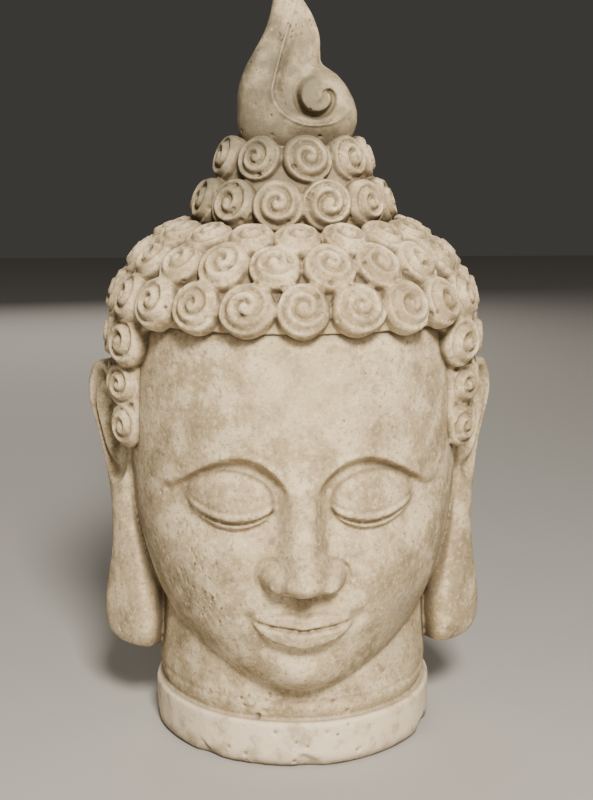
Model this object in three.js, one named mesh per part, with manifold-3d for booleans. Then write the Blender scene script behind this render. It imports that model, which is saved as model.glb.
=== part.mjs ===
// A cast-stone Buddha head with a flame finial, in one solid piece: base ring and neck, face,
// long-lobed ears, a scalp of snail-shell curls, a topknot and a flame that curls into a volute.
// Millimetres, +Z up. The face looks along -Y, and the head stands on the flat underside of its ring.
import * as THREE from "three";
import { mergeVertices } from "three/addons/utils/BufferGeometryUtils.js";
import Module from "manifold-3d";

const wasm = await Module();
wasm.setup();

// ---- Driving dimensions ----
const TOTAL_HEIGHT = 400;
const RING = { radius: 76, height: 24, step: 1.8 };
const NECK = { radius: 74, waist: 73, top: 118 };
const CHIN_Z = 42;
const HAIRLINE_Z = 226;
const SIDEBURN = { halfWindow: 83, corner: 16, bottomZ: 160.7, backY: 4 };
const CURL = { radius: 12.2, height: 8.2, sink: 3 };
const TOPKNOT = { footZ: 262, seatZ: 313, centreY: 2 };
const FLAME = { footZ: 311, halfDepth: 21 };
const SEED = 98;

// ---- Small helpers ----
const { abs, cos, exp, floor, hypot, max, min, PI, pow, sign, sin, sqrt } = Math;
const TURN = 2 * PI;

// Rises smoothly from 0 to 1 as value goes from one edge to the other, in either direction.
function smoothstep(from, to, value) {
  const t = min(max((value - from) / (to - from), 0), 1);
  return t * t * (3 - 2 * t);
}

// The same small irregularity each run, from -1 to 1, for a pair of counters.
function wobble(a, b) {
  const n = sin(a * 12.9898 + b * 78.233 + SEED) * 43758.5453;
  return 2 * (n - floor(n)) - 1;
}

// A smooth curve through the rows of a table, read at a level that may fall between two rows.
function between(table, level) {
  const last = table.length - 1;
  const i = min(max(floor(level), 0), last - 1);
  const t = min(max(level - i, 0), 1);
  const rows = [max(i - 1, 0), i, i + 1, min(i + 2, last)].map((k) => table[k]);
  return rows[0].map((_, k) => {
    const [p, a, b, q] = rows.map((row) => row[k]);
    return a + 0.5 * t * (b - p + t * (2 * p - 5 * a + 4 * b - q + t * (3 * (a - b) + q - p)));
  });
}

// The level at which a table's first column reaches z.
function levelAt(table, z) {
  let low = 0;
  let high = table.length - 1;
  for (let i = 0; i < 40; i++) {
    const middle = (low + high) / 2;
    if (between(table, middle)[0] < z) low = middle;
    else high = middle;
  }
  return (low + high) / 2;
}

// Splits each four-sided patch between the poles along the shorter of its two diagonals.
function useShorterDiagonals(geometry, columns, rows) {
  const position = geometry.getAttribute("position");
  const { array } = geometry.index;
  const corner = (i) => new THREE.Vector3().fromBufferAttribute(position, i);
  for (let patch = 0; patch < columns * (rows - 2); patch++) {
    const i = 3 * (columns + 2 * patch);
    const [a, b, d, , c] = array.subarray(i, i + 5);
    if (corner(a).distanceTo(corner(c)) < corner(b).distanceTo(corner(d)))
      array.set([a, b, c, a, c, d], i);
  }
}

// A closed skin of columns x rows, made from a sphere whose points are put where place() says.
function skin(columns, rows, place) {
  const geometry = new THREE.SphereGeometry(1, columns, rows);
  const position = geometry.getAttribute("position");
  const point = new THREE.Vector3();
  for (let i = 0; i < position.count; i++) {
    const column = i % (columns + 1);
    place(column % columns, floor(i / (columns + 1)), point);
    position.setXYZ(i, point.x, point.y, point.z);
  }
  useShorterDiagonals(geometry, columns, rows);
  return geometry;
}

// A closed geometry as a solid, with its faces turned outwards.
function solid(geometry) {
  const bare = geometry.clone();
  bare.deleteAttribute("normal");
  bare.deleteAttribute("uv");
  const merged = mergeVertices(bare, 1e-4);
  const make = (triVerts) =>
    new wasm.Manifold(
      new wasm.Mesh({ numProp: 3, vertProperties: merged.getAttribute("position").array, triVerts }),
    );
  const triangles = new Uint32Array(merged.index.array);
  const made = make(triangles);
  return made.volume() > 0 ? made : make(triangles.reverse());
}

// ---- Head: an egg from the chin to the crown, as [z, half width, depth in front, depth behind] ----
const HEAD = [
  [40, 12, 56, 30],
  [43, 31, 76, 44],
  [50, 49, 85, 58],
  [62, 63, 89.5, 68],
  [80, 74, 91.5, 76],
  [100, 81, 92.5, 82],
  [125, 86, 92.5, 88],
  [155, 88, 92, 94],
  [185, 88, 92, 97],
  [210, 86.5, 91, 96],
  [228, 84, 88.5, 93],
  [244, 76, 79, 85],
  [256, 62, 65, 70],
];
const HEAD_COLUMNS = [0, 2.6, 5.2, 8.2, 12, 16, 20, 24.5, 29.5, 35.5, 43, 54, 70, 90];
const HEAD_BACK_COLUMNS = [125, 180];
const HEAD_ROWS = [
  42.5, 48, 54, 61, 67, 73, 78, 82, 85, 90, 96, 101, 104, 108, 114, 121, 128,
  133, 136.5, 141, 147, 153, 158, 163, 168, 178, 202, 230,
];

// ---- Face: how far each feature stands forward of the egg, at x across and z up ----
const BROW = { innerX: 6, outerX: 64, endZ: 149, arch: 17, depth: 5.6 };
const EYE = { x: 35, z: 144, halfWidth: 21.5, halfHeight: 15, rise: 7.6 };
const LID = { halfWidth: 20.5, cornerZ: 139.5, sag: 5, ledge: 1.8, slit: 1.6 };
const NOSE = { tipZ: 109, baseZ: 102.5, rootZ: 166, rise: 19, wingX: 12.5, wingZ: 108 };
const MOUTH = { z: 83, halfWidth: 25, upper: 8, lower: 9.5 };

function bell(dx, dz) {
  return exp(-dx * dx - dz * dz);
}

function browZ(across) {
  const t = min(max((across - BROW.innerX) / (BROW.outerX - BROW.innerX), 0), 1);
  return BROW.endZ + BROW.arch * sin(PI * pow(t, 0.8));
}

function eyeForm(across, z) {
  const brow = browZ(across);
  const within = smoothstep(5, 13, across) * smoothstep(74, 52, across);
  const hollow = BROW.depth * within * smoothstep(brow + 0.5, brow - 4.5, z) * smoothstep(112, 134, z);
  const du = (across - EYE.x) / EYE.halfWidth;
  const dv = (z - EYE.z) / EYE.halfHeight;
  const ball = EYE.rise * pow(max(0, 1 - du * du - dv * dv), 0.6);
  const along = (across - EYE.x) / LID.halfWidth;
  const inLid = smoothstep(1.08, 0.85, abs(along));
  const edge = LID.cornerZ - LID.sag * (1 - along * along);
  const ledge = LID.ledge * smoothstep(edge - 0.4, edge + 0.8, z) * smoothstep(edge + 12, edge + 1, z);
  const slit = LID.slit * bell((z - edge + 1.8) / 1.7, 0);
  return ball - hollow + inLid * (ledge - slit);
}

function noseForm(across, z) {
  const above = pow(smoothstep(NOSE.rootZ + 6, NOSE.tipZ - 8, z), 1.15);
  const below = smoothstep(NOSE.baseZ - 3.5, NOSE.tipZ - 1, z);
  const halfWidth = 6.5 + 3.6 * smoothstep(142, NOSE.tipZ, z);
  const ridge = NOSE.rise * min(above * 1.06, 1) * below * exp(-pow(across / (1.25 * halfWidth), 2.8));
  const wing = 10.5 * bell((across - NOSE.wingX) / 6, (z - NOSE.wingZ) / 7);
  const under = smoothstep(NOSE.baseZ - 2.5, NOSE.baseZ + 1.5, z);
  return max(ridge, wing * under) + 0.25 * min(ridge, wing * under);
}

function mouthForm(across, z) {
  const t = across / MOUTH.halfWidth;
  const muzzle = 4.4 * bell(across / 31, (z - 84) / 20);
  const open = max(0, 1 - t * t);
  const line = MOUTH.z + 2 * t * t - 0.8 * bell(across / 4, 0);
  const top = MOUTH.upper * pow(open, 0.75) - 1.6 * bell(across / 3.4, 0);
  const low = MOUTH.lower * pow(open, 0.6);
  const share = z >= line ? (z - line) / max(top, 0.1) : (line - z) / max(low, 0.1);
  const full = (z >= line ? 3.4 : 4.4) * pow(open, 0.4);
  const lips = full * smoothstep(1.3, 0.75, share);
  const slit = 3.2 * pow(open, 0.3) * bell((z - line) / 1.7, 0);
  const corner = 2 * bell((across - MOUTH.halfWidth - 2) / 4.5, (z - line) / 4.5);
  const groove = 1.3 * bell(across / 3.2, (z - 96) / 6);
  return muzzle + lips - slit - corner - groove;
}

function faceForm(x, z) {
  const across = abs(x);
  const chin = 4.2 * bell(across / 17, (z - 55) / 10) - 2.4 * bell(across / 20, (z - 69) / 5);
  const cheek = 2.6 * bell((across - 46) / 22, (z - 104) / 24);
  return eyeForm(across, z) + noseForm(across, z) + mouthForm(across, z) + chin + cheek;
}

function headPoint(angle, z, target) {
  const [, side, front, back] = between(HEAD, levelAt(HEAD, z));
  const x = side * sin(angle);
  const forward = cos(angle);
  const y = forward > 0 ? -front * forward - faceForm(x, z) : -back * forward;
  return target.set(x, y, z);
}

function makeHead() {
  const half = [...HEAD_COLUMNS, ...HEAD_BACK_COLUMNS];
  const angles = [...half, ...half.slice(1, -1).reverse().map((a) => -a)].map(THREE.MathUtils.degToRad);
  const rows = HEAD_ROWS.length;
  return solid(
    skin(angles.length, rows + 1, (column, row, point) => {
      if (row === 0) point.set(0, 0, HEAD.at(-1)[0]);
      else if (row > rows) point.set(0, -20, HEAD[0][0]);
      else headPoint(angles[column], HEAD_ROWS[rows - row], point);
    }),
  );
}

// ---- Base ring and neck ----
function makeNeck() {
  const { radius, height, step } = RING;
  const profile = [
    [0, 0],
    [radius - 0.8, 0],
    [radius, 4],
    [radius, height - 1],
    [radius - 0.6, height],
    [NECK.radius, height + 0.6],
    [NECK.waist, height + 8],
    [NECK.radius, height + 14],
    [NECK.radius - 3, NECK.top],
    [0, NECK.top],
  ].map(([r, z]) => new THREE.Vector2(r, z));
  return solid(new THREE.LatheGeometry(profile, 32).rotateX(PI / 2));
}

// ---- Scalp: the surface that the curls sit on, as [z, half width, depth in front, depth behind] ----
const SCALP = [
  [68, 68, 66, 80],
  [85, 76, 79, 86.5],
  [112, 84, 89, 93],
  [142, 89.5, 93, 98],
  [176, 92.5, 95.5, 101.5],
  [208, 92.5, 95, 101.5],
  [230, 91, 92.5, 98.5],
  [244, 86.5, 86.5, 93.5],
  [254, 79.5, 79.5, 85.5],
  [263, 69, 70, 74.5],
  [269.5, 55, 57, 59],
  [274, 26, 26, 28],
];

function scalpPoint(angle, level, target) {
  const [z, side, front, back] = between(SCALP, level);
  const forward = cos(angle);
  return target.set(side * sin(angle), -(forward > 0 ? front : back) * forward, z);
}

// The hair's edge round the face: a window with rounded upper corners, and the sideburn below it.
function makeFaceWindow() {
  const { halfWindow, corner, bottomZ, backY } = SIDEBURN;
  const edge = new THREE.Shape();
  edge.moveTo(-halfWindow, 0);
  edge.lineTo(halfWindow, 0);
  edge.lineTo(halfWindow, HAIRLINE_Z - corner);
  edge.absarc(halfWindow - corner, HAIRLINE_Z - corner, corner, 0, PI / 2);
  edge.absarc(corner - halfWindow, HAIRLINE_Z - corner, corner, PI / 2, PI);
  const reach = 200;
  const window = new THREE.ExtrudeGeometry(edge, { depth: reach, bevelEnabled: false, curveSegments: 4 });
  window.rotateX(PI / 2).translate(0, -30, 0);
  const below = new THREE.BoxGeometry(2 * reach, reach, bottomZ + 100);
  below.translate(0, backY - reach / 2, (bottomZ - 100) / 2);
  return solid(window).add(solid(below));
}

function makeScalp() {
  const columns = 20;
  const rows = SCALP.length;
  return solid(
    skin(columns, rows + 1, (column, row, point) => {
      if (row === 0) point.set(0, 0, SCALP.at(-1)[0] + 0.5);
      else if (row > rows) point.set(0, 20, SCALP[0][0]);
      else scalpPoint((column / columns) * TURN, rows - row, point);
    }),
  ).subtract(makeFaceWindow());
}

function makeTopknot() {
  const { footZ, seatZ, centreY } = TOPKNOT;
  const profile = [
    [0, footZ],
    [47, footZ],
    [44, footZ + 28],
    [34, footZ + 36],
    [32.5, seatZ],
    [0, seatZ],
  ].map(([r, z]) => new THREE.Vector2(r, z));
  return solid(new THREE.LatheGeometry(profile, 18).rotateX(PI / 2).translate(0, centreY, 0));
}

// ---- Curls: one snail shell, then rows of them round the scalp and the topknot ----
function curlGeometry(sides) {
  return skin(sides, 3, (column, row, point) => {
    const turn = column / sides;
    const angle = turn * TURN;
    const shoulder = row === 1;
    const r = CURL.radius * (shoulder ? 0.86 - 0.14 * turn : 1);
    const z = shoulder ? CURL.height * (0.56 + 0.3 * turn) : -CURL.sink;
    if (row === 0) point.set(0, 0, CURL.height);
    else if (row === 3) point.set(0, 0, -CURL.sink);
    else point.set(r * cos(angle), r * sin(angle), z);
  });
}

function curlOn(surface, angle, level, size, spin, sides) {
  const centre = surface(angle, level, new THREE.Vector3());
  const along = surface(angle + 0.02, level, new THREE.Vector3()).sub(centre).normalize();
  const up = surface(angle, level + 0.05, new THREE.Vector3()).sub(centre);
  const out = new THREE.Vector3().crossVectors(along, up).normalize();
  up.crossVectors(out, along);
  const place = new THREE.Matrix4().makeBasis(along, up, out);
  place.multiply(new THREE.Matrix4().makeRotationZ(spin)).scale(new THREE.Vector3(size, size, size));
  place.setPosition(centre);
  return solid(curlGeometry(sides).applyMatrix4(place));
}

// Angles that share out the way round at one level evenly, from one angle to another.
function evenAngles(surface, level, from, to, count, closed) {
  const steps = 180;
  const lengths = [0];
  const previous = surface(from, level, new THREE.Vector3());
  const next = new THREE.Vector3();
  for (let i = 1; i <= steps; i++) {
    surface(from + ((to - from) * i) / steps, level, next);
    lengths.push(lengths[i - 1] + next.distanceTo(previous));
    previous.copy(next);
  }
  const parts = closed ? count : count - 1;
  return Array.from({ length: count }, (_, k) => {
    const wanted = (lengths[steps] * k) / parts;
    const i = min(lengths.findIndex((l, n) => n > 0 && l >= wanted - 1e-9), steps);
    const share = (wanted - lengths[i - 1]) / (lengths[i] - lengths[i - 1]);
    return from + ((to - from) * (i - 1 + share)) / steps;
  });
}

const degrees = THREE.MathUtils.degToRad;
// Each row: its height on the scalp, how many curls, the angle from the front that it starts at, and size.
const FULL_ROWS = [
  { z: 267, count: 17, start: -1, size: 0.98 },
  { z: 255.6, count: 20, start: -9, size: 1.02 },
  { z: 238, count: 22, start: 0, size: 1.06 },
];
const PART_ROWS = [
  { z: 216, count: 15, from: 61.5, size: 1.08 },
  { z: 190, count: 8, from: 116, size: 1.14 },
  { z: 164, count: 7, from: 122, size: 1.14 },
  { z: 138, count: 8, from: 115, size: 1.14 },
  { z: 112, count: 7, from: 121, size: 1.1 },
  { z: 88, count: 7, from: 117, size: 1.08 },
];
const SIDEBURN_CURLS = [
  { z: 193, angle: 68, size: 1 },
  { z: 171, angle: 68, size: 0.94 },
  { z: 194, angle: 84, size: 0.98 },
  { z: 171, angle: 82, size: 0.86 },
];
const TOPKNOT_ROWS = [
  { z: 284, radius: 45, count: 12, start: -12, size: 1.04 },
  { z: 306.5, radius: 34, count: 10, start: 3, size: 0.94 },
];

function makeCurls() {
  const curls = [];
  const add = (surface, angle, level, size, row, i) => {
    const sides = cos(angle) > 0.2 ? 6 : 5;
    const scaled = size * (1 + 0.035 * wobble(i, row));
    curls.push(curlOn(surface, angle, level, scaled, PI * wobble(row, i), sides));
  };
  FULL_ROWS.forEach(({ z, count, start, size }, row) => {
    const level = levelAt(SCALP, z);
    const from = degrees(start);
    const angles = evenAngles(scalpPoint, level, from, from + TURN, count, true);
    angles.forEach((angle, i) => add(scalpPoint, angle, level, size, row, i));
  });
  PART_ROWS.forEach(({ z, count, from, size }, row) => {
    const level = levelAt(SCALP, z);
    const angles = evenAngles(scalpPoint, level, degrees(from), degrees(360 - from), count, false);
    angles.forEach((angle, i) => add(scalpPoint, angle, level, size, row + 3, i));
  });
  SIDEBURN_CURLS.forEach(({ z, angle, size }, i) => {
    for (const side of [-1, 1])
      add(scalpPoint, side * degrees(angle), levelAt(SCALP, z), size, 11, 2 * i + side);
  });
  TOPKNOT_ROWS.forEach(({ z, radius, count, start, size }, row) => {
    const drum = (angle, level, target) =>
      target.set(radius * sin(angle), TOPKNOT.centreY - radius * cos(angle), z + level);
    for (let i = 0; i < count; i++)
      add(drum, degrees(start) + (i * TURN) / count, 0, size, row + 14, i);
  });
  return wasm.Manifold.union(curls);
}

// ---- Ears: a long slab from the helix to the lobe, as [z, middle x, half x, middle y, half y] ----
const EAR = [
  [41.5, 82, 7, -8, 7],
  [45, 85.5, 13, -9, 12],
  [52, 88, 16, -9.5, 14.5],
  [64, 88.5, 15.4, -9.5, 15],
  [82, 87, 14.4, -7, 13.5],
  [100, 86.5, 11.8, -3, 12.5],
  [118, 86.6, 10.3, 2, 13],
  [136, 87.8, 9.8, 7, 17],
  [154, 91, 11, 9, 22],
  [172, 94.6, 12.2, 10, 25],
  [187, 96.6, 12.8, 10, 24],
  [196, 96.2, 11.4, 10, 18],
  [201, 94.5, 7, 10, 9],
];
const CONCHA = { y: 7, z: 169, halfWidth: 12.5, halfHeight: 21, depth: 6.5 };

function makeEar(side) {
  const columns = 10;
  const rows = EAR.length;
  return solid(
    skin(columns, rows + 1, (column, row, point) => {
      const end = row === 0 || row > rows;
      const [z, x, halfX, y, halfY] = between(EAR, row > rows ? 0 : rows - max(row, 1));
      const angle = (column / columns) * TURN;
      const across = end ? 0 : pow(abs(cos(angle)), 0.8) * sign(cos(angle)) * halfX;
      const along = end ? 0 : pow(abs(sin(angle)), 0.8) * sign(sin(angle)) * halfY;
      const u = (y + along - CONCHA.y) / CONCHA.halfWidth;
      const v = (z - CONCHA.z) / CONCHA.halfHeight;
      const dish = across > 0 ? CONCHA.depth * smoothstep(1.1, 0.45, hypot(u, v)) : 0;
      point.set(side * (x + across - dish), y + along, z + (row === 0 ? 1.2 : row > rows ? -1 : 0));
    }),
  );
}

// ---- Flame finial: a teardrop that leans over, as [z, left x, right x, depth share] ----
const FLAME_STATIONS = [
  [311, -25, 27, 0.82],
  [317, -28, 31, 0.95],
  [324, -29, 33.2, 1],
  [331, -29.3, 33.4, 1],
  [338, -29, 31.4, 0.95],
  [344.5, -27.8, 27.6, 0.87],
  [350, -26, 22.6, 0.79],
  [355.4, -23.7, 15.4, 0.7],
  [361, -20.4, 14.2, 0.61],
  [370, -15.4, 13.8, 0.5],
  [379, -12, 10.6, 0.39],
  [387, -10.2, 5.8, 0.29],
  [394, -8.6, 0.6, 0.18],
];
// Inside a ridge that sweeps down from the tip and round underneath, the flame is hollowed, and a
// volute stands in the hollow.
const VOLUTE = { x: 11.6, z: 339, size: 1.02, y: 12.5 };
const HOLLOW = { levelZ: 341, leftX: -11.6, rightX: 33, drop: 17, topX: 4, y: 14.5, lean: 0.17 };

function makeHollow() {
  const { levelZ, leftX, rightX, drop, topX, y, lean } = HOLLOW;
  const reach = 60;
  const edge = new THREE.Shape();
  edge.moveTo(reach, levelZ);
  edge.lineTo(rightX, levelZ);
  edge.absellipse((leftX + rightX) / 2, levelZ, (rightX - leftX) / 2, drop, 0, PI, true);
  edge.quadraticCurveTo(leftX + 1, 364, topX, TOTAL_HEIGHT + 5);
  edge.lineTo(reach, TOTAL_HEIGHT + 5);
  const cutter = new THREE.ExtrudeGeometry(edge, { depth: 30, bevelEnabled: false, curveSegments: 5 });
  cutter.rotateX(PI / 2).translate(0, 0, -levelZ).rotateX(-lean).translate(0, -y, levelZ);
  return cutter;
}

function makeVolute() {
  const disc = curlGeometry(7).scale(VOLUTE.size, VOLUTE.size, VOLUTE.size);
  return disc.rotateX(PI / 2).translate(VOLUTE.x, -VOLUTE.y, VOLUTE.z);
}

function makeFlame() {
  const columns = 18;
  const rows = FLAME_STATIONS.length;
  const body = skin(columns, rows + 1, (column, row, point) => {
    const end = row === 0 || row > rows;
    const [z, left, right, depth] = between(FLAME_STATIONS, row > rows ? 0 : rows - max(row, 1));
    const angle = (column / columns) * TURN;
    const face = sign(cos(angle)) * pow(abs(cos(angle)), 0.8);
    const x = (left + right) / 2 + (end ? 0 : (sin(angle) * (right - left)) / 2);
    const y = end ? 0 : -face * FLAME.halfDepth * depth;
    point.set(x, y, row === 0 ? TOTAL_HEIGHT : row > rows ? FLAME.footZ - 4 : z);
  });
  let flame = solid(body);
  for (const side of [1, -1]) {
    flame = flame.subtract(solid(makeHollow().scale(1, side, 1)));
    flame = flame.add(solid(makeVolute().scale(1, side, 1)));
  }
  return flame.translate([0, TOPKNOT.centreY, 0]);
}

// ---- The casting: everything joined, with its origin under the middle of its outline ----
const casting = wasm.Manifold.union([
  makeNeck(),
  makeHead(),
  makeScalp(),
  makeTopknot(),
  makeCurls(),
  makeEar(-1),
  makeEar(1),
  makeFlame(),
]);
const bounds = casting.boundingBox();
const centred = casting.translate([
  -(bounds.min[0] + bounds.max[0]) / 2,
  -(bounds.min[1] + bounds.max[1]) / 2,
  0,
]);

const { vertProperties, triVerts } = centred.getMesh();
const geometry = new THREE.BufferGeometry();
geometry.setAttribute("position", new THREE.BufferAttribute(vertProperties, 3));
geometry.setIndex(new THREE.BufferAttribute(triVerts, 1));
geometry.computeVertexNormals();

const castStone = new THREE.MeshStandardMaterial({ color: 0xb3a893, roughness: 0.85, metalness: 0 });
const head = new THREE.Mesh(geometry, castStone);
head.name = "buddha_head";

const group = new THREE.Group();
group.add(head);
export default group;
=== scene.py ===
"""Looks for a cast-stone Buddha head: the carved face, neck ring and ears, the hair of
snail-shell curls with its topknot, and the flame finial, all in one pale, matte stone."""

import math

import bpy
import numpy as np
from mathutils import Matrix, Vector, noise
from mathutils.kdtree import KDTree


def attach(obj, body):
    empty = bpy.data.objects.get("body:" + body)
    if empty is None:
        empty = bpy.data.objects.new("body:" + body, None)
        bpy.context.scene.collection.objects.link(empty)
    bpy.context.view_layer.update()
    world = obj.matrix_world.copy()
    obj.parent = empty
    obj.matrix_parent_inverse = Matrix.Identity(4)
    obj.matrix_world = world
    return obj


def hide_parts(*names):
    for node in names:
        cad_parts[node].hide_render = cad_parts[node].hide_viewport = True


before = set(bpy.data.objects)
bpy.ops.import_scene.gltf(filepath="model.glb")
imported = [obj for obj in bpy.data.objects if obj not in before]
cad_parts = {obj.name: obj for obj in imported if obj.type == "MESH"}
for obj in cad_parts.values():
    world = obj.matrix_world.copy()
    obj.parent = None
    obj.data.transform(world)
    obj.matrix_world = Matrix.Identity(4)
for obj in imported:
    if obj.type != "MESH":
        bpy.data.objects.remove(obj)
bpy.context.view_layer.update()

MM = 0.001
TURN = 2 * math.pi

# ---- Sizes in millimetres, about the neck's own axis, with the face towards -Y ----
MIDDLE_Y = -1.33  # how far the middle of the outline lies in front of the neck's axis
RING_RADIUS = 76.0
RING_HEIGHT = 24.0
NECK_RADIUS = 74.0
RAGGED_FROM = 60.0  # radius outside which the ring's lower edge is ragged and chipped
HEAD_FOOT = 41.0
HEAD_TOP = 252.0

# The window in the hair through which the face shows
HAIRLINE_Z = 226.0
WINDOW_HALF = 83.0
WINDOW_MIDDLE = -2.0
WINDOW_CORNER = 16.0
SIDEBURN_BOTTOM = 160.7
SIDEBURN_BACK = 4.0

HAIR_TURN = math.radians(-2.5)  # the sides of the hair sit a little round to the left
SCALP_FOOT = 66.0
SCALP_TOP = 274.5
CORNER_ROW_Z = 216.0  # the row of curls that starts at the window's upper corners
CURL_RADIUS = 13.2
CURL_HEIGHT = 7.4
CURL_LIP = 1.2  # height of a curl's widest place above the scalp
KNOT_Y = 2.0  # the topknot and the flame stand this far behind the neck's axis
KNOT_LEAN = 0.32  # how fast the topknot narrows upwards where its curls sit
FLAME_FOOT = 309.2
FLAME_TIP = 400.0
FLAME_DEPTH = 21.0  # half its thickness at its deepest
VOLUTE_X = 11.6
VOLUTE_Z = 339.0

rng = np.random.default_rng(11)


# ---- Small helpers ----
def rise(start, end, value):
    """0 to 1, smoothly, as value goes from start to end, in either direction."""
    t = np.clip((value - start) / (end - start), 0.0, 1.0)
    return t * t * (3 - 2 * t)


def bell(u, v=0.0):
    return np.exp(-u * u - v * v)


def smooth_table(rows):
    """Columns of a table as smooth functions of its first column."""
    rows = np.array(rows, float)
    last = len(rows) - 1
    level = np.linspace(0, last, 60 * last + 1)
    i = np.minimum(level.astype(int), last - 1)
    t = (level - i)[:, None]
    p, a = rows[np.maximum(i - 1, 0)], rows[i]
    b, q = rows[i + 1], rows[np.minimum(i + 2, last)]
    dense = a + 0.5 * t * (b - p + t * (2 * p - 5 * a + 4 * b - q + t * (3 * (a - b) + q - p)))
    heights = np.maximum.accumulate(dense[:, 0])
    return lambda z: [np.interp(z, heights, dense[:, k]) for k in range(1, rows.shape[1])]


def profile_at(profile, level):
    """Radius and height at a share of the way along a turned profile."""
    radius, height = np.array(profile, float).T
    steps = np.hypot(np.diff(radius), np.diff(height))
    along = np.concatenate([[0], np.cumsum(steps)]) / steps.sum()
    return np.interp(level, along, radius), np.interp(level, along, height)


def closed_ends(level, share):
    """1 along a ball, falling to 0 at its two poles within a share of its height."""
    return np.minimum(np.minimum(level, 1 - level) / share, 1)


def roll_crease(off):
    """A sharp crease between two round rolls: 1 where off is 0, down to 0 at a half on either side."""
    return 1 - np.sqrt(np.maximum(0, 1 - (1 - 2 * np.abs(off)) ** 2))


def deselect():
    for obj in bpy.context.selected_objects:
        obj.select_set(False)


def choose(*objects):
    deselect()
    for obj in objects:
        obj.select_set(True)
    bpy.context.view_layer.objects.active = objects[0]


def apply_modifier(obj, kind, **settings):
    choose(obj)
    modifier = obj.modifiers.new(kind.title(), kind)
    for key, value in settings.items():
        setattr(modifier, key, value)
    bpy.ops.object.modifier_apply(modifier=modifier.name)


def read_points(obj):
    points = np.empty(len(obj.data.vertices) * 3, np.float32)
    obj.data.vertices.foreach_get("co", points)
    return points.reshape(-1, 3).astype(float)


def write_points(obj, points):
    obj.data.vertices.foreach_set("co", np.asarray(points, np.float32).ravel())
    obj.data.update()


def shaped_ball(name, segments, rings, place):
    """A ball with its points moved to place(angle, level): angle from the front, level 0 to 1 upwards."""
    deselect()
    bpy.ops.mesh.primitive_uv_sphere_add(segments=segments, ring_count=rings, radius=1)
    obj = bpy.context.object
    obj.name = name
    points = read_points(obj)
    angle = np.arctan2(points[:, 0], -points[:, 1])
    level = 1 - np.arccos(np.clip(points[:, 2], -1, 1)) / math.pi
    x, y, z = place(angle, level)
    write_points(obj, np.stack([x, y - MIDDLE_Y, z], 1) * MM)
    return obj


def outward(obj):
    """Turns a closed form's faces outwards."""
    choose(obj)
    bpy.ops.object.mode_set(mode="EDIT")
    bpy.ops.mesh.select_all(action="SELECT")
    bpy.ops.mesh.normals_make_consistent(inside=False)
    bpy.ops.object.mode_set(mode="OBJECT")


def joined(name, objects):
    choose(*objects)
    if len(objects) > 1:
        bpy.ops.object.join()
    obj = bpy.context.object
    obj.name = name
    return obj


def weather(obj, lumps, pits):
    """Uneven casting: soft lumps all over, and air holes as rows of centre, spread, count, radius, depth.

    A row without a centre spreads its holes over the whole piece. The flat underside stays flat.
    """
    points = read_points(obj)
    normals = np.empty(len(points) * 3, np.float32)
    obj.data.vertex_normals.foreach_get("vector", normals)
    normals = normals.reshape(-1, 3)
    push = np.empty(len(points))
    tree = KDTree(len(points))
    for i, point in enumerate(points.tolist()):
        here = Vector(point)
        push[i] = lumps * (0.3 * noise.noise(here * 70) + 0.2 * noise.noise(here * 260))
        tree.insert(here, i)
    tree.balance()
    for centre, spread, count, radius, depth in pits:
        if centre is None:
            middles = points[rng.integers(0, len(points), count)]
        else:
            near = np.array([i for _, i, _ in tree.find_range(Vector(centre) * MM, spread * MM)])
            middles = points[rng.choice(near, count)]
        for middle in middles:
            size = radius * rng.uniform(0.6, 1.3) * MM
            for _, i, distance in tree.find_range(middle, size):
                push[i] -= depth * rng.uniform(0.7, 1) * (1 - (distance / size) ** 2)
    underside = points[:, 2] < 0.4 * MM
    points[:, 2] = np.where(underside, points[:, 2], points[:, 2] + push * normals[:, 2] * MM)
    points[:, :2] += (push * MM)[:, None] * normals[:, :2]
    write_points(obj, points)


def cast_in_one(obj, grain, smoothing, triangles, lumps, pits):
    """Runs overlapping forms together into one skin, as they come out of one mould."""
    grain = grain
    apply_modifier(obj, "REMESH", mode="VOXEL", voxel_size=grain * MM, use_smooth_shade=True)
    apply_modifier(obj, "SMOOTH", factor=0.5, iterations=smoothing)
    weather(obj, lumps, pits)
    apply_modifier(obj, "TRIANGULATE")
    share = triangles / len(obj.data.polygons)
    if share < 1:
        apply_modifier(obj, "DECIMATE", decimate_type="COLLAPSE", ratio=share)


# ---- Head: an egg from the chin to the crown, as z, half width, depth in front, depth behind ----
HEAD = smooth_table([
    (40, 12, 56, 30),
    (43, 31, 76, 44),
    (50, 49, 85, 58),
    (62, 63, 89.5, 68),
    (80, 74, 91.5, 76),
    (100, 81, 92.5, 82),
    (125, 86, 92.5, 88),
    (155, 88, 92, 94),
    (185, 88, 92, 97),
    (210, 86.5, 91, 96),
    (228, 84, 88.5, 93),
    (244, 76, 79, 85),
    (256, 62, 65, 70),
])


# ---- Face: how far each feature stands forward of the egg ----
def brow_line(across):
    t = np.clip((across - 6) / 58, 0, 1)
    return 149 + 17 * np.sin(math.pi * t**0.8)


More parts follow.
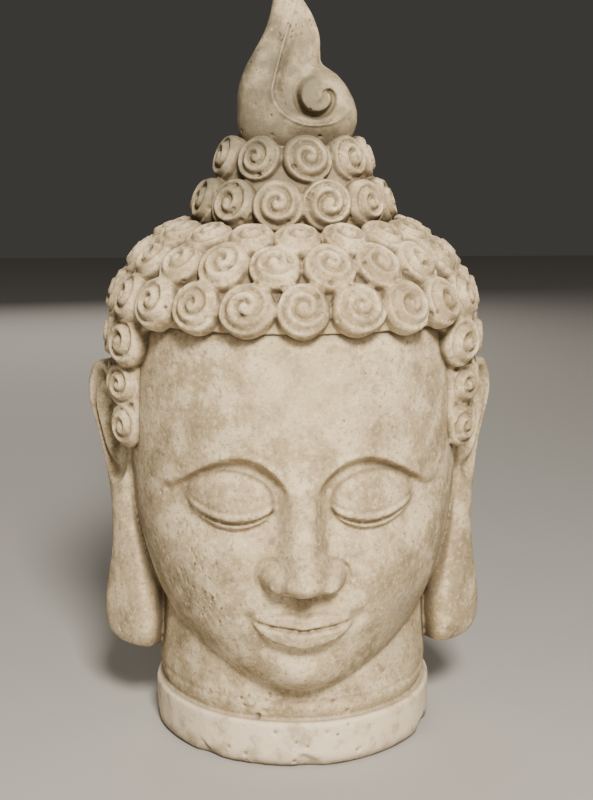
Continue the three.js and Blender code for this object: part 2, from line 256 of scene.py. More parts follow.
def eye_form(across, z):
    brow = brow_line(across)
    within = rise(5, 13, across) * rise(76, 54, across)
    hollow = 5.6 * within * rise(brow + 0.6, brow - 4.4, z) * rise(112, 134, z)
    arris = 1.1 * within * bell((z - brow - 1.2) / 1.5)
    ball = 7.6 * np.maximum(0, 1 - ((across - 35) / 21.5) ** 2 - ((z - 144) / 15) ** 2) ** 0.6
    along = (across - 35) / 20.5
    in_lid = rise(1.1, 0.9, np.abs(along))
    open_eye = np.sqrt(np.maximum(0, 1 - along * along))
    upper = 139.5 - 5 * (1 - along * along)
    lower = upper - 2.3 * open_eye
    lid = 1.5 * rise(upper - 0.35, upper + 0.35, z) * rise(upper + 3.3, upper + 2.1, z)
    fold = 0.55 * bell((z - upper - 3.9) / 0.7)
    slit = 1.5 * rise(upper + 0.2, upper - 0.5, z) * rise(lower - 0.6, lower + 0.1, z)
    rim = 0.9 * open_eye * bell((z - lower + 1.3) / 1.1)
    return ball - hollow + arris + in_lid * (lid + rim - slit - fold)


def nose_form(across, z):
    above = rise(172, 101, z) ** 1.15
    below = np.sqrt(np.clip(1 - (np.minimum(z - 109, 0) / 9) ** 2, 0, 1))
    half_width = 6.3 + 3.2 * rise(142, 109, z)
    ridge = 19 * np.minimum(above * 1.06, 1) * below * np.exp(-((across / (1.3 * half_width)) ** 2.6))
    tip = 1.6 * bell(across / 7, (z - 109) / 6) * below
    under = rise(99.6, 102.8, z)
    around_wing = np.hypot((across - 12.6) / 1.1, z - 107.8)
    wing = 10.8 * rise(8.6, 3.2, around_wing) * under
    crease = 2.1 * bell((around_wing - 9) / 1.3) * rise(10, 14, across) * rise(99, 104, z)
    nostril = 4.2 * bell((across - 7) / 2.9, (z - 102.4) / 1.7)
    return np.maximum(ridge, wing) + 0.22 * np.minimum(ridge, wing) + tip - crease - nostril


def mouth_form(across, z):
    t = across / 25
    muzzle = 4.4 * bell(across / 31, (z - 84) / 20)
    shut = np.maximum(0, 1 - t * t)
    line = 83 + 2.2 * t * t - 0.9 * bell(across / 4)
    top = 8.2 * shut**0.75 - 1.7 * bell(across / 3.2)
    low = 9.4 * shut**0.6
    share = np.where(z >= line, (z - line) / np.maximum(top, 0.1), (line - z) / np.maximum(low, 0.1))
    full = np.where(z >= line, 4.5, 5.4) * shut**0.4
    rim = 0.7 * shut**0.4 * bell((share - 1.02) / 0.1)
    upper_dip = 0.4 * np.where(z >= line, 1, 0) * bell((share - 0.6) / 0.25) * shut
    lips = full * rise(1.16, 0.86, share) + rim - upper_dip
    slit = 3.4 * shut**0.3 * bell((z - line) / 1.15)
    corner = 2.6 * bell((across - 27) / 3.8, (z - line) / 3.8)
    groove = 1.6 * bell(across / 3, (z - 96.5) / 5) - 0.8 * bell((across - 5) / 2.2, (z - 96) / 4.5)
    return muzzle + lips - slit - corner - groove


def face_form(x, z):
    across = np.abs(x)
    chin = 4.2 * bell(across / 17, (z - 55) / 10) - 2.4 * bell(across / 20, (z - 69) / 5)
    cheek = 2.6 * bell((across - 46) / 22, (z - 104) / 24)
    return eye_form(across, z) + nose_form(across, z) + mouth_form(across, z) + chin + cheek


def head_skin(turn, level):
    """The head from the chin to under the cap, with its points drawn together towards the face."""
    angle = math.pi * np.sign(turn) * (np.abs(turn) / math.pi) ** 1.25
    z = HEAD_FOOT + (HEAD_TOP - HEAD_FOOT) * level
    side, front, back = HEAD(z)
    shut = closed_ends(level, 0.004)
    x = side * np.sin(angle) * shut
    ahead = np.cos(angle)
    y = np.where(ahead > 0, -front * ahead - face_form(x, z), -back * ahead) * shut
    return x, y, z


# ---- Neck and its ring ----
NECK_PROFILE = [
    (0, 0),
    (RING_RADIUS - 1.6, 0),
    (RING_RADIUS - 0.3, 0.9),
    (RING_RADIUS, 3),
    (RING_RADIUS + 0.2, 12),
    (RING_RADIUS + 0.4, RING_HEIGHT - 1.4),
    (RING_RADIUS, RING_HEIGHT - 0.2),
    (RING_RADIUS - 1.2, RING_HEIGHT + 0.3),
    (NECK_RADIUS - 2.4, RING_HEIGHT + 0.4),
    (NECK_RADIUS - 1.8, RING_HEIGHT + 2),
    (NECK_RADIUS - 0.8, RING_HEIGHT + 5),
    (NECK_RADIUS - 0.4, RING_HEIGHT + 8),
    (NECK_RADIUS - 0.9, RING_HEIGHT + 9.6),
    (NECK_RADIUS - 0.2, RING_HEIGHT + 12),
    (NECK_RADIUS - 0.5, RING_HEIGHT + 22),
    (NECK_RADIUS - 4, 112),
    (0, 118),
]


def neck_skin(turn, level):
    """The neck and its ring, a little out of round, with chips along the ring's lower edge."""
    r, z = profile_at(NECK_PROFILE, level)
    outer = rise(RAGGED_FROM, NECK_RADIUS, r)
    ragged = 3.2 + 2 * np.sin(9 * turn + 2) + 1.5 * np.sin(23 * turn) + 1.1 * np.sin(41 * turn + 1)
    bottom = rise(ragged + 1.6, ragged - 1, z) * outer
    knocks = np.sin(4 * turn + 2.6) + np.sin(7 * turn) + 0.8 * np.sin(17 * turn + 1)
    chip = 1.5 * np.maximum(0, knocks - 0.4)
    r = r + outer * (0.35 * np.sin(3 * turn + 0.7) + 0.2 * np.sin(8 * turn)) - bottom * chip
    return r * np.sin(turn), -r * np.cos(turn), z


# ---- Ears: z, centre x, centre y, half length, half thickness, turn of the slab in degrees ----
EAR = [
    (41.5, 84.5, -6, 6, 4, 50),
    (43.5, 86.5, -7, 11.5, 6, 46),
    (50, 89.4, -8, 16.5, 7.5, 43),
    (60, 90.4, -8.5, 18.4, 7.8, 41),
    (72, 90.2, -8, 17.8, 7.6, 40),
    (85, 89.8, -7, 15.6, 7.4, 38),
    (98, 89.8, -5.5, 12.8, 7.2, 36),
    (115, 90.6, -3, 10.5, 7, 34),
    (130, 91.4, 0, 12, 7, 32),
    (145, 93.2, 4, 16, 7.5, 30),
    (160, 95.8, 8, 20, 8, 29),
    (175, 98.2, 10, 23, 8.4, 28),
    (186, 98.8, 11, 22.5, 8.2, 28),
    (195, 98.4, 11.5, 17.5, 7.2, 28),
    (200.5, 97.8, 12, 9, 4.6, 28),
]


def ear_skin(side):
    """An ear for one side (1 or -1): a leaning slab with a dished upper half and a long lobe."""
    table = smooth_table(EAR)

    def place(turn, level):
        z = EAR[0][0] + (EAR[-1][0] - EAR[0][0]) * level
        middle_x, middle_y, long_half, thick_half, tilt = table(z)
        shut = closed_ends(level, 0.02)
        tilt = np.radians(tilt)
        along = -np.cos(turn)
        across = np.sin(turn)
        along = np.sign(along) * np.abs(along) ** 0.8 * long_half * shut
        across = np.sign(across) * np.abs(across) ** 0.8 * thick_half * shut
        across = np.where(across < 0, across * (1 + 1.25 * rise(135, 100, z)), across)
        u = (along + 0.5) / 19.5
        v = (z - 168) / 30
        reach = np.hypot(u, v * np.where(v < 0, 0.78, 1))
        recess = 5.2 * rise(0.93, 0.78, reach)
        bowl = 3.6 * rise(0.5, 0.2, reach)
        fold = 3.4 * bell((reach - 0.56) / 0.1) * rise(-0.5, 0.2, u)
        dish = np.where(across > 0, recess + bowl - fold, 0)
        arris = 1.2 * rise(-0.7, -1, along / np.maximum(long_half, 1)) * rise(140, 110, z)
        across = across - dish
        x = middle_x + along * np.sin(tilt) + across * np.cos(tilt)
        y = middle_y + along * np.cos(tilt) - across * np.sin(tilt) - arris
        return side * x, y, z

    return place


# ---- Scalp under the curls: z, half width, depth in front, depth behind ----
SCALP = smooth_table([
    (60, 60, 58, 74),
    (68, 68, 66, 80),
    (85, 76, 79, 86.5),
    (112, 84, 89, 93),
    (142, 89.5, 93, 98),
    (176, 92.5, 95.5, 101.5),
    (208, 92.5, 95, 101.5),
    (230, 91, 92.5, 98.5),
    (244, 86.5, 86.5, 93.5),
    (254, 79.5, 79.5, 85.5),
    (263, 69, 70, 74.5),
    (269.5, 55, 57, 59),
    (274, 26, 26, 28),
])


def scalp_at(angle, z):
    side, front, back = SCALP(z)
    ahead = np.cos(angle)
    return side * np.sin(angle), -np.where(ahead > 0, front, back) * ahead, z


def scalp_skin(turn, level):
    """The cap under the curls, drawn in behind the face's window and below the sideburns."""
    z = SCALP_FOOT + (SCALP_TOP - SCALP_FOOT) * (1 - (1 - level) ** 1.35)
    x, y, _ = scalp_at(turn, z)
    over_side = np.abs(x - WINDOW_MIDDLE) - WINDOW_HALF
    over_top = z - HAIRLINE_Z
    corner = np.hypot(np.maximum(over_side + WINDOW_CORNER, 0), np.maximum(over_top + WINDOW_CORNER, 0))
    edge = np.minimum(np.maximum(over_side, over_top) + WINDOW_CORNER, 0) + corner - WINDOW_CORNER
    in_face = np.where(y < -20, rise(0.5, -0.8, edge), 0)
    in_cheek = rise(SIDEBURN_BOTTOM + 0.6, SIDEBURN_BOTTOM - 0.8, z)
    in_cheek = in_cheek * rise(SIDEBURN_BACK + 1, SIDEBURN_BACK - 1, y)
    near_edge = np.where(y < -10, rise(11, 0, edge), 0)
    shrink = 1 - 0.11 * np.maximum(in_face, in_cheek) - 0.026 * near_edge * (1 - in_face)
    shut = closed_ends(level, 0.01)
    return x * shrink * shut, y * shrink * shut, z


KNOT_PROFILE = [
    (0, 260),
    (50, 260),
    (48.5, 272),
    (44.5, 284),
    (41, 292),
    (38, 298),
    (35.5, 306),
    (33.6, 311.5),
    (32.4, 313.2),
    (31, 313.5),
    (0, 313.5),
]


def knot_skin(turn, level):
    r, z = profile_at(KNOT_PROFILE, level)
    return r * np.sin(turn), KNOT_Y - r * np.cos(turn), z


def burr_skin(turn, level):
    """A little flake of flash left standing where the flame meets the topknot."""
    wide = np.sin(math.pi * level)
    x = 26 + 1.5 * level + 2.2 * np.sin(turn) * wide
    y = -16 - 1.2 * np.cos(turn) * wide
    return x, y, 312 + 8 * level


# ---- Where the curls sit, with their angles in degrees from the front ----
CAP_ROWS = [  # rows all round the cap: height, count, first angle, size
    (267, 17, -1, 0.97),
    (255.6, 20, -9, 1.0),
    (237.6, 22, 0, 1.02),
]
BACK_ROWS = [  # rows from one side round the back to the other: height, count, first angle, size
    (CORNER_ROW_Z, 15, 66, 1.02),
    (190, 8, 116, 1.14),
    (164, 7, 122, 1.14),
    (138, 8, 115, 1.14),
    (112, 7, 121, 1.1),
    (88, 7, 117, 1.08),
]
SIDEBURNS = [  # height, angle, size, degrees turned forward
    (193, 71.5, 0.96, 24),
    (171, 71, 0.92, 24),
    (194, 88, 0.96, 8),
    (171, 86, 0.88, 8),
]
KNOT_ROWS = [  # height, radius, count, first angle, size
    (284, 45, 12, -12, 1.02),
    (306.5, 34, 9, 8.5, 0.95),
]


# ---- One curl: a low snail shell whose roll winds outwards, to be copied ----
def snail_shell(seed):
    """Points and faces of one curl, standing on z = 0, with its own pitch, depth and unevenness."""
    wob = np.random.default_rng(seed)
    pitch = 5.7 + 0.4 * wob.uniform(-1, 1)
    first = 1.0 + 0.8 * wob.uniform(-1, 1)
    squash = 1 + 0.03 * wob.uniform(-1, 1)
    lump = wob.uniform(0, TURN, 3)
    deep = 3.7 + 0.4 * wob.uniform(-1, 1)

    def place(turn, level):
        around = np.mod(math.pi / 2 - turn, TURN)
        on_top = level > 0.2
        share = np.where(on_top, (1 - level) / 0.8, level / 0.2)
        share = np.clip(share, 0, 1)
        swell = 0.96 + 0.07 * around / TURN - 0.07 * rise(TURN - 0.3, TURN, around)
        wave = 0.015 * np.sin(2 * around + lump[0]) + 0.012 * np.sin(5 * around + lump[1])
        rim = CURL_RADIUS * (swell + wave)
        foot = np.minimum(2.2 * share, 0.97 + 0.03 * rise(0.4, 1, share))
        r = rim * np.where(on_top, np.sin(share * math.pi / 2) ** 0.95, foot)
        edge = np.clip(r / rim, 0, 1)
        dome = CURL_LIP + (CURL_HEIGHT - CURL_LIP) * (1 - edge**4) ** 0.5 + 1.4 * (1 - edge**2)
        winding = (r - first) / pitch - around / TURN
        off = winding - np.round(winding)
        crease = deep * (0.6 * roll_crease(off) + 0.4 * (0.5 + 0.5 * np.cos(TURN * off)))
        crease = crease * rise(first - 0.2, first + 1.2, r) * rise(0.97, 0.8, edge)
        side = -4 + (CURL_LIP + 4) * rise(0.4, 1, share)
        height = np.where(on_top, dome - crease, side)
        return r * np.cos(around) * squash, MIDDLE_Y + r * np.sin(around) / squash, height

    shell = shaped_ball("snail_shell", 60, 56, place)
    points = read_points(shell)
    polygons = [tuple(p.vertices) for p in shell.data.polygons]
    bpy.data.objects.remove(shell)
    return points, polygons


# ---- Curls set on the cap and the topknot ----
def curl_seat(surface, angle, z, size):
    """A curl's centre, across, up and out directions, and size, on a surface at an angle and height."""
    centre = np.array(surface(angle, z), float)
    across = np.array(surface(angle + 0.01, z), float) - centre
    across /= np.linalg.norm(across)
    up = np.array(surface(angle, z + 0.5), float) - centre
    out = np.cross(across, up)
    out /= np.linalg.norm(out)
    return centre, across, np.cross(out, across), out, size * (1 + 0.03 * rng.uniform(-1, 1))


def turned_forward(seat, side, degrees, sink):
    """The same seat turned about its own up direction towards the face, and let in by a little."""
    centre, across, up, out, size = seat
    c, s = math.cos(math.radians(degrees)), side * math.sin(math.radians(degrees))
    return centre - sink * out, across * c + out * s, up, out * c - across * s, size


def cap_seats():
    """The rows round the cap, the rows down the back and sides, and the sideburns."""
    seats = []

    def shared_out(z, start, end, count, closed):
        """Angles that share out a stretch of the scalp in equal steps along its surface."""
        angles = np.linspace(start, end, 361)
        x, y, _ = scalp_at(angles, np.full(361, float(z)))
        length = np.concatenate([[0], np.cumsum(np.hypot(np.diff(x), np.diff(y)))])
        wanted = np.arange(count) / (count if closed else count - 1) * length[-1]
        return np.interp(wanted, length, angles)

    for z, count, start, size in CAP_ROWS:
        start = math.radians(start)
        for angle in shared_out(z, start, start + TURN, count, True):
            seats.append(curl_seat(scalp_at, angle, z, size))
    for z, count, start, size in BACK_ROWS:
        start, end = HAIR_TURN + math.radians(start), HAIR_TURN + math.radians(360 - start)
        row = [curl_seat(scalp_at, angle, z, size) for angle in shared_out(z, start, end, count, False)]
        if z == CORNER_ROW_Z:
            row[0] = turned_forward(row[0], 1, 14, 1)
            row[-1] = turned_forward(row[-1], -1, 14, 1)
        seats += row
    for z, angle, size, degrees in SIDEBURNS:
        for side in (-1, 1):
            seat = curl_seat(scalp_at, HAIR_TURN + side * math.radians(angle), z, size)
            seats.append(turned_forward(seat, side, degrees, degrees / 12))
    return seats


def knot_seats():
    """The two rows round the topknot, leaning back with its sides."""
    seats = []
    for z, radius, count, start, size in KNOT_ROWS:
        def cone(angle, height, radius=radius, foot=z):
            r = radius - KNOT_LEAN * (height - foot)
            return r * np.sin(angle), KNOT_Y - r * np.cos(angle), height
        for i in range(count):
            seats.append(curl_seat(cone, math.radians(start) + i * TURN / count, z, size))
    return seats


def make_curls(seats):
    """One mesh of curls, each a shell set on its seat with a little spin and lean of its own."""
    shells = [snail_shell(seed) for seed in range(6)]
    all_points, all_faces, first = [], [], 0
    for i, (centre, across, up, out, size) in enumerate(seats):
        points, faces = shells[i % len(shells)]
        spin = rng.normal(0, 0.45)
        lean_x, lean_y = rng.normal(0, 0.035, 2)
        c, s = math.cos(spin), math.sin(spin)
        u = (points[:, 0] * c - points[:, 1] * s) * size
        v = (points[:, 0] * s + points[:, 1] * c) * size
        w = points[:, 2] * size + lean_x * u + lean_y * v
        basis = np.stack([across, up, out])
        place = np.stack([u, v, w], 1) @ basis + (centre - np.array([0, MIDDLE_Y, 0])) * MM
        all_points.append(place)
        all_faces += [tuple(k + first for k in face) for face in faces]
        first += len(points)
    mesh = bpy.data.meshes.new("curls")
    mesh.from_pydata(np.concatenate(all_points).tolist(), [], all_faces)
    obj = bpy.data.objects.new("curls", mesh)
    bpy.context.scene.collection.objects.link(obj)
    outward(obj)
    return obj


# ---- Flame finial: z, left edge, right edge, share of the full depth ----
FLAME = smooth_table([
    (309, -25.5, 26.5, 0.78),
    (311, -25.6, 27, 0.82),
    (317, -28, 31, 0.95),
    (324, -29, 33.2, 1),
    (331, -29.3, 33.4, 1),
    (338, -29, 31.4, 0.95),
    (344.5, -27.8, 27.6, 0.87),
    (350, -26, 22.6, 0.79),
    (355.4, -23.7, 15.4, 0.7),
    (361, -20.4, 14.2, 0.61),
    (370, -15.4, 13.8, 0.5),
    (379, -12, 10.6, 0.39),
    (387, -10.2, 5.8, 0.29),
    (394, -8.6, 0.6, 0.18),
    (400, -5.6, -3.6, 0.06),
])


def flame_relief(x, z):
    """How far the flame's face stands out at a place: a ridge, the channel inside it, and the volute."""
    low = np.hypot((x - 10.7) / 22.3, (z - 341) / 17)
    ridge_x = -11.6 + 13.2 * (np.clip(z - 341, 0, 60) / 46) ** 1.15
    inward = np.where(z < 341, (1 - low) * 17, x - ridge_x)
    ridge = (1.4 * rise(-7, 0, inward) + 0.9 * rise(-1.6, 0, inward)) * rise(1.5, 0, inward)
    ridge = ridge * np.where(z < 341, rise(29, 19, x), 1)
    reach = np.hypot(x - VOLUTE_X, z - VOLUTE_Z)
    turn = np.mod(np.arctan2(z - VOLUTE_Z, x - VOLUTE_X), TURN)
    past = np.mod(turn - math.radians(70), TURN)
    channel = rise(0, 0.7, past) * rise(4.6, 3.3, past)
    channel = np.maximum(channel, rise(349, 356, z))
    hollow = 6.8 * rise(0.2, 6.5, inward) * channel * (0.45 + 0.55 * rise(386, 350, z))
    boss = (6.0 * rise(11.6, 7.6, reach) + 1.8 * np.maximum(0, 1 - (reach / 9) ** 2)) * channel
    wound = np.mod(math.radians(35) - turn, TURN)
    off = reach - (9.6 - 5.6 * np.exp(-wound / 0.55))
    crease = 3.6 * np.where(off < 0, rise(-1.6, 0, off), rise(3.4, 0, off))
    crease = crease * rise(0, 0.25, wound) * rise(4.4, 3.2, wound)
    curled_in = 1.5 * bell((reach - 4.2) / 1.5) * rise(2.9, 1.6, wound)
    return ridge - hollow + boss - crease - curled_in


def flame_skin(turn, level):
    """The flame, with a shallower relief on its back than on its front."""
    z = FLAME_FOOT + (FLAME_TIP - FLAME_FOOT) * level
    left, right, depth = FLAME(z)
    shut = closed_ends(level, 0.012)
    x = (left + right) / 2 + np.sin(turn) * (right - left) / 2 * shut
    face = np.cos(turn)
    round_face = np.sign(face) * np.abs(face) ** 0.78
    facing = rise(0.12, 0.6, np.abs(face))
    relief = flame_relief(x, z) * np.where(face > 0, 1.0, 0.8) * np.minimum(1, depth * 1.4)
    y = -(round_face * FLAME_DEPTH * depth + np.sign(face) * relief * facing) * shut
    return x, KNOT_Y + y, z


# ---- Stone: pale cream-grey casting, warmer on the fronts, with dirt and painted shade in the hollows, a greyer flame with painted shade on its left, and air holes ----
BODY = (0.48, 0.377, 0.243, 1)
BODY_LIGHT = (0.59, 0.475, 0.318, 1)
MOTTLE_LIGHT = (0.74, 0.62, 0.435, 1)
MOTTLE_DARK = (0.34, 0.268, 0.172, 1)
SPECK_DARK = (0.33, 0.265, 0.18, 1)
SPECK_LIGHT = (0.80, 0.70, 0.53, 1)
GRAIN_DARK = (0.30, 0.24, 0.165, 1)
FOREHEAD_WARM = (0.68, 0.55, 0.35, 1)
JAW_VEIL = (0.27, 0.225, 0.17, 1)
CURL_STAIN = (0.26, 0.18, 0.105, 1)
FLAME_GREY_AND_SHADE = (0.20, 0.176, 0.124, 1)
RING_PALE = (0.84, 0.73, 0.56, 1)
GRIME_AND_SHADE = (0.11, 0.082, 0.052, 1)
WORN_ARRIS = (0.80, 0.70, 0.54, 1)
HOLE = (0.13, 0.10, 0.07, 1)
STAINED_CURLS = [  # centre, radius
    ((52, -80, 240), 12),
    ((70, -63, 240), 12),
    ((37, -78, 259), 11),
    ((1, -99, 240), 7),
]
PITTED_CHEEK = (-52, -76, 96)


class Graph:
    """Short ways to add nodes to one material."""

    def __init__(self, material):
        self.nodes, self.links = material.node_tree.nodes, material.node_tree.links
        self.place = self.nodes.new("ShaderNodeTexCoord").outputs["Object"]

    def add(self, kind, settings=None, **inputs):
        node = self.nodes.new(kind)
        for key, value in (settings or {}).items():
            setattr(node, key, value)
        for key, value in inputs.items():
            self.feed(node.inputs[key.replace("_", " ")], value)
        return node

    def feed(self, socket, value):
        if isinstance(value, bpy.types.NodeSocket):
            self.links.new(value, socket)
        else:
            socket.default_value = value

    def math(self, operation, first, second=0.0):
        node = self.add("ShaderNodeMath", {"operation": operation})
        self.feed(node.inputs[0], first)
        self.feed(node.inputs[1], second)
        return node.outputs[0]

    def noise(self, scale, detail=4.0, roughness=0.55):
        settings = {"Scale": scale, "Detail": detail, "Roughness": roughness}
        return self.add("ShaderNodeTexNoise", Vector=self.place, **settings).outputs["Fac"]

    def span(self, value, low, high, start=0.0, end=1.0):
        node = self.add("ShaderNodeMapRange", {"interpolation_type": "SMOOTHSTEP"}, Value=value)
        for name, limit in (("From Min", low), ("From Max", high), ("To Min", start), ("To Max", end)):
            node.inputs[name].default_value = limit
        return node.outputs["Result"]

    def blend(self, share, first, second):
        """A mix of two colours, through the mix node's colour sockets, which have no names of their own."""
        node = self.add("ShaderNodeMix", {"data_type": "RGBA"})
        self.feed(node.inputs["Factor"], share)
        self.feed(node.inputs[6], first)
        self.feed(node.inputs[7], second)
        return node.outputs[2]

    def patch(self, centre, radius, soft=0.5):
        """1 inside a ball about centre, in millimetres, fading out to 0 at its edge."""
        here = self.add("ShaderNodeVectorMath", {"operation": "DISTANCE"})
        self.links.new(self.place, here.inputs[0])
        here.inputs[1].default_value = Vector(centre) * MM
        return self.span(here.outputs["Value"], radius * MM, radius * (1 - soft) * MM)


def stone_colour(graph, mottle):
    """The stone's colour: soft tones, mottling, specks and grain, then the patches that differ, among them
    painted shade on the flame's left side.
    """
    tone = graph.noise(16, 3)
    speck = graph.noise(420, 4, 0.65)
    grain = graph.noise(1300, 2, 0.7)
    colour = graph.blend(graph.span(tone, 0.38, 0.62), BODY, BODY_LIGHT)
    colour = graph.blend(graph.span(mottle, 0.47, 0.62, 0, 0.9), colour, MOTTLE_LIGHT)
    colour = graph.blend(graph.span(mottle, 0.46, 0.32, 0, 0.85), colour, MOTTLE_DARK)
    colour = graph.blend(graph.span(speck, 0.53, 0.68, 0, 0.75), colour, SPECK_DARK)
    colour = graph.blend(graph.span(speck, 0.47, 0.32, 0, 0.6), colour, SPECK_LIGHT)
    colour = graph.blend(graph.span(grain, 0.5, 0.75, 0, 0.6), colour, GRAIN_DARK)

    warm = graph.math("MULTIPLY", graph.patch((0, -90, 200), 45, 0.9), 0.35)
    colour = graph.blend(warm, colour, FOREHEAD_WARM)
    veil = graph.math("MULTIPLY", graph.span(mottle, 0.45, 0.6), graph.patch((50, -66, 72), 34, 0.7))
    colour = graph.blend(graph.math("MULTIPLY", veil, 0.5), colour, JAW_VEIL)
    for centre, radius in STAINED_CURLS:
        stain = graph.math("MULTIPLY", graph.span(speck, 0.62, 0.45), graph.patch(centre, radius, 0.8))
        colour = graph.blend(graph.math("MULTIPLY", stain, 0.6), colour, CURL_STAIN)
    # A darker, greyer patch over the flame and topknot, centred on the flame's left: partly the flame's
    # greyer stone, partly painted shade on its left side.
    flame_grey_and_shade = graph.math("MULTIPLY", graph.patch((-26, -8, 330), 84, 0.65), 0.92)
    flame_grey_and_shade = graph.math("MULTIPLY", flame_grey_and_shade, graph.span(mottle, 0.65, 0.4, 0.6, 1.0))
    colour = graph.blend(flame_grey_and_shade, colour, FLAME_GREY_AND_SHADE)
    height = graph.add("ShaderNodeSeparateXYZ", Vector=graph.place).outputs["Z"]
    on_ring = graph.span(height, (RING_HEIGHT + 2) * MM, (RING_HEIGHT - 1) * MM)
    pale = graph.math("MULTIPLY", on_ring, graph.span(mottle, 0.34, 0.52, 0.4, 0.95))
    return graph.blend(pale, colour, RING_PALE)


def grimed_and_shaded(graph, mottle, colour):
    """Dirt and painted shade in the hollows and creases, darker where occlusion and pointiness find them,
    and paler stone on the worn arrises.
    """
    hollow = graph.add("ShaderNodeAmbientOcclusion", {"samples": 8}, Distance=0.012)
    crease = graph.add("ShaderNodeAmbientOcclusion", {"samples": 8}, Distance=0.0035)
    sharp = graph.add("ShaderNodeNewGeometry").outputs["Pointiness"]
    # Painted shade, with dirt: the colour darkens where the ambient occlusion and the pointiness find
    # hollows and creases.
    grime_and_shade = graph.span(hollow.outputs["AO"], 0.89, 0.4)
    grime_and_shade = graph.math("MAXIMUM", grime_and_shade, graph.span(sharp, 0.485, 0.43))
    grime_and_shade = graph.math("MAXIMUM", grime_and_shade, graph.span(crease.outputs["AO"], 0.93, 0.5))
    grime_and_shade = graph.math("MULTIPLY", grime_and_shade, graph.span(mottle, 0.3, 0.6, 0.65, 1.0))
    colour = graph.blend(graph.math("MULTIPLY", grime_and_shade, 0.85), colour, GRIME_AND_SHADE)
    return graph.blend(graph.span(sharp, 0.53, 0.6, 0, 0.4), colour, WORN_ARRIS)


def air_holes(graph):
    """1 in scattered pin holes of differing sizes, closer together on one cheek."""
    cells = graph.add("ShaderNodeTexVoronoi", Vector=graph.place, Scale=230.0, Randomness=1.0)
    chance = graph.add("ShaderNodeSeparateColor", Color=cells.outputs["Color"]).outputs["Red"]
    crowd = graph.math("MULTIPLY", graph.patch(PITTED_CHEEK, 28, 0.8), 0.3)
    size = graph.math("MULTIPLY", graph.span(graph.math("ADD", chance, crowd), 0.86, 1.1), 0.2)
    hole = graph.math("LESS_THAN", cells.outputs["Distance"], size)
    return graph.math("MULTIPLY", hole, graph.math("GREATER_THAN", size, 0.03))


def cast_stone():
    material = bpy.data.materials.new("cast_stone")
    material.use_nodes = True
    graph = Graph(material)
    shader = graph.nodes["Principled BSDF"]

    mottle = graph.noise(70, 5, 0.6)
    colour = grimed_and_shaded(graph, mottle, stone_colour(graph, mottle))
    hole = air_holes(graph)
    colour = graph.blend(graph.math("MULTIPLY", hole, 0.75), colour, HOLE)
    graph.links.new(colour, shader.inputs["Base Color"])
    graph.feed(shader.inputs["Roughness"], graph.span(mottle, 0.3, 0.7, 0.8, 0.95))

    coarse = graph.add("ShaderNodeBump", Height=graph.noise(190, 5, 0.6), Strength=0.7, Distance=0.0007)
    fine = graph.add("ShaderNodeBump", Height=graph.noise(900, 3, 0.6), Strength=0.6, Distance=0.0004)
    graph.links.new(coarse.outputs["Normal"], fine.inputs["Normal"])
    pricked = graph.add("ShaderNodeBump", {"invert": True}, Height=hole, Strength=0.7, Distance=0.0006)
    graph.links.new(fine.outputs["Normal"], pricked.inputs["Normal"])
    graph.links.new(pricked.outputs["Normal"], shader.inputs["Normal"])
    return material


def cast_head():
    """The four pieces of the casting, each run together from its forms, in one stone."""
    ears = [shaped_ball("ear", 90, 140, ear_skin(side)) for side in (1, -1)]
    outward(ears[1])  # the mirrored ear comes out inside out
    face = joined("face_and_neck", [
        shaped_ball("head", 320, 270, head_skin),
        shaped_ball("neck", 200, 120, neck_skin),
        *ears,
    ])
    cast_in_one(face, 0.75, 1, 195000, 0.5, [
        (None, 0, 160, 1.1, 0.6),
        (PITTED_CHEEK, 22, 45, 1.0, 0.6),
        ((0, -74, 12), 40, 30, 1.8, 0.9),
    ])
    hair = joined("curled_hair", [shaped_ball("scalp", 300, 200, scalp_skin), make_curls(cap_seats())])
    cast_in_one(hair, 0.68, 1, 195000, 0.7, [(None, 0, 500, 1.4, 0.9)])
    knot = joined("topknot", [
        shaped_ball("cone", 120, 80, knot_skin),
        make_curls(knot_seats()),
        shaped_ball("burr", 12, 10, burr_skin),
    ])
    cast_in_one(knot, 0.6, 1, 110000, 0.6, [(None, 0, 120, 1.4, 0.9)])
    flame = joined("flame_finial", [shaped_ball("flame", 360, 230, flame_skin)])
    cast_in_one(flame, 0.55, 1, 100000, 0.6, [
        (None, 0, 60, 1.0, 0.6),
        ((-4, -9, 371), 6, 9, 1.1, 0.9),
        ((0, -17, 313), 22, 14, 1.0, 0.8),
    ])

    stone = cast_stone()
    for piece in (face, hair, knot, flame):
        piece.data.materials.clear()
        piece.data.materials.append(stone)
        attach(piece, "root")
        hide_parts("buddha_head")


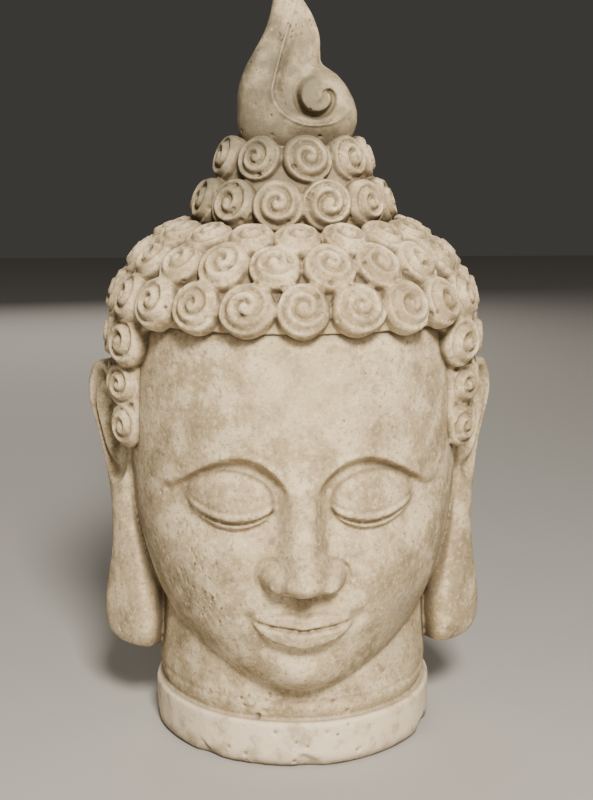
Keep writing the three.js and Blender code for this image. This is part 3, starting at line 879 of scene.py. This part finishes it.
# ---- Camera, floor and lights ----
CAMERA_AWAY = 0.7  # metres from the neck's axis
CAMERA_HEIGHT = 0.315
CAMERA_PITCH = math.radians(11.1)
CAMERA_AZIMUTH = math.radians(-3.0)
CAMERA_SWING = math.radians(0.153)  # it looks past the neck's axis by this much
WORLD_LIGHT = 0.065
LIGHTS = [  # name, place and size in metres, watts
    ("key", (0.13, -1.1, 1.05), 0.3, 27),
    ("front", (0.05, -1.6, 0.45), 0.5, 5),
    ("back", (-0.3, 1.6, 0.9), 1.2, 9),
]


def studio():
    camera = bpy.data.objects.new("camera", bpy.data.cameras.new("camera"))
    camera.data.lens = 58.95
    camera.data.sensor_width = 36
    camera.location = (
        CAMERA_AWAY * math.sin(CAMERA_AZIMUTH),
        -CAMERA_AWAY * math.cos(CAMERA_AZIMUTH) - MIDDLE_Y * MM,
        CAMERA_HEIGHT,
    )
    camera.rotation_euler = (math.pi / 2 - CAMERA_PITCH, 0, CAMERA_AZIMUTH - CAMERA_SWING)
    bpy.context.scene.collection.objects.link(camera)
    bpy.context.scene.camera = camera

    deselect()
    bpy.ops.mesh.primitive_plane_add(size=6, location=(0, 0, 0))
    floor = bpy.context.object
    floor.name = "floor"
    paint = bpy.data.materials.new("pale_floor")
    paint.use_nodes = True
    shader = paint.node_tree.nodes["Principled BSDF"]
    shader.inputs["Base Color"].default_value = (0.47, 0.455, 0.435, 1)
    shader.inputs["Roughness"].default_value = 0.9
    floor.data.materials.append(paint)

    world = bpy.data.worlds.new("studio")
    world.use_nodes = True
    background = world.node_tree.nodes["Background"]
    background.inputs["Color"].default_value = (0.95, 0.92, 0.86, 1)
    background.inputs["Strength"].default_value = WORLD_LIGHT
    bpy.context.scene.world = world
    bpy.context.scene.view_settings.look = "AgX - Medium High Contrast"
    for name, place, size, power in LIGHTS:
        light = bpy.data.lights.new(name, "AREA")
        light.size = size
        light.energy = power
        light.color = (1.0, 0.95, 0.86)
        lamp = bpy.data.objects.new(name, light)
        lamp.location = place
        lamp.rotation_euler = (Vector((0, 0, 0.2)) - lamp.location).to_track_quat("-Z", "Y").to_euler()
        bpy.context.scene.collection.objects.link(lamp)


cast_head()
studio()
